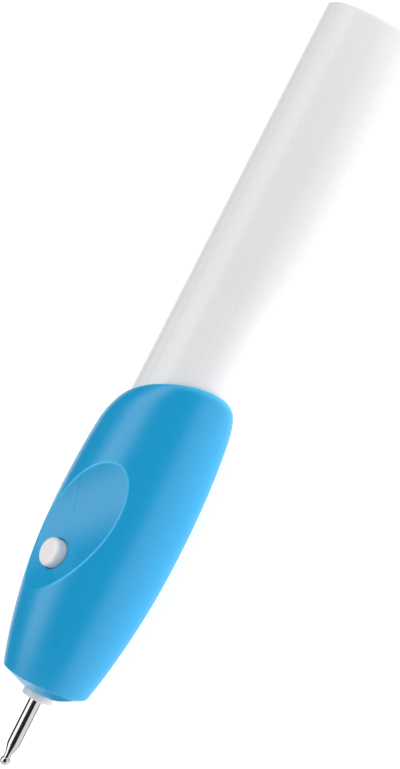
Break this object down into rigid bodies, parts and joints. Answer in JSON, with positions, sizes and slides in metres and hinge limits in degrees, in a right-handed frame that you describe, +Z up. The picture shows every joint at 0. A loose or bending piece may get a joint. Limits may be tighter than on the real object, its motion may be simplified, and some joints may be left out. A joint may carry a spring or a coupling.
{
  "type": "electric engraving pen",
  "caption": "Cordless engraving pen: a bulged grip with a thumb recess and push button, a ball-tipped bit driven by a small motor, and a pull-off battery tube.",
  "frame": {"origin": "on the surface that the pen lies on, under the middle of its length and on its centre line", "axes": "+X along the pen from the bit to the closed end of the tube, +Z up through the push button, +Y across the pen"},
  "size_m": [0.16, 0.0266, 0.0265],
  "materials": {
    "grip_blue": "smooth satin moulded plastic",
    "tube_white": "polished moulded plastic",
    "button_white": "semi-gloss moulded plastic",
    "bush_white": "turned acetal, semi-gloss",
    "nylon": "natural nylon",
    "black_plastic": "moulded black plastic",
    "bit_steel": "ground and polished",
    "shaft_steel": "ground",
    "spring_steel": "drawn wire",
    "can_steel": "drawn and zinc plated",
    "tinned_contact": "tinned sheet",
    "brass": "stamped sheet",
    "bronze": "sintered",
    "copper": "enamelled wire and bar",
    "laminate": "stacked sheet",
    "ferrite": "sintered ferrite",
    "red_sleeve": "wire insulation",
    "black_sleeve": "wire insulation",
    "yellow_sleeve": "wire insulation",
    "cell_sleeve": "plain shrink sleeve over the cell's can"
  },
  "bodies": {
    "grip": {"grip_shell_left": "grip_blue", "grip_shell_right": "grip_blue", "nose_bush": "bush_white", "motor_can": "can_steel", "motor_end_bell": "black_plastic", "motor_front_bush": "bronze", "motor_rear_bush": "bronze", "motor_magnet_left": "ferrite", "motor_magnet_right": "ferrite", "motor_brush_right": "brass", "motor_brush_left": "brass", "switch_terminal_left": "brass", "switch_terminal_right": "brass", "switch_case": "black_plastic", "switch_spring": "spring_steel", "contact_carrier": "black_plastic", "positive_contact": "tinned_contact", "negative_contact": "tinned_contact", "lead_red": "red_sleeve", "lead_link": "yellow_sleeve", "lead_black": "black_sleeve"},
    "spindle": {"coupler": "nylon", "motor_shaft": "shaft_steel", "armature_core": "laminate", "armature_coil_a": "copper", "armature_coil_b": "copper", "armature_coil_c": "copper", "commutator": "copper"},
    "bit": {"bit": "bit_steel"},
    "push_button": {"button": "button_white", "switch_plunger": "nylon", "switch_bridge": "brass"},
    "battery_case": {"battery_tube": "tube_white", "cell_1": "cell_sleeve", "cell_2": "cell_sleeve", "rear_spring": "spring_steel", "contact_strip": "tinned_contact"}
  },
  "joints": [
    {"name": "spindle_spin", "type": "hinge", "parent": "grip", "child": "spindle", "pos_m": [-0.04, 0, 0.01203], "axis": [1, 0, 0], "continuous": true},
    {"name": "bit_release", "type": "slide", "parent": "spindle", "child": "bit", "axis": [-1, 0, 0], "range_m": [0, 0.0177]},
    {"name": "button_press", "type": "slide", "parent": "grip", "child": "push_button", "axis": [0, 0, -1], "range_m": [0, 0.0012], "stiffness_N_per_m": 600, "springref_m": -0.001, "deforming": ["switch_spring"]},
    {"name": "tube_pull", "type": "slide", "parent": "grip", "child": "battery_case", "axis": [1, 0, 0], "range_m": [0, 0.03]}
  ]
}
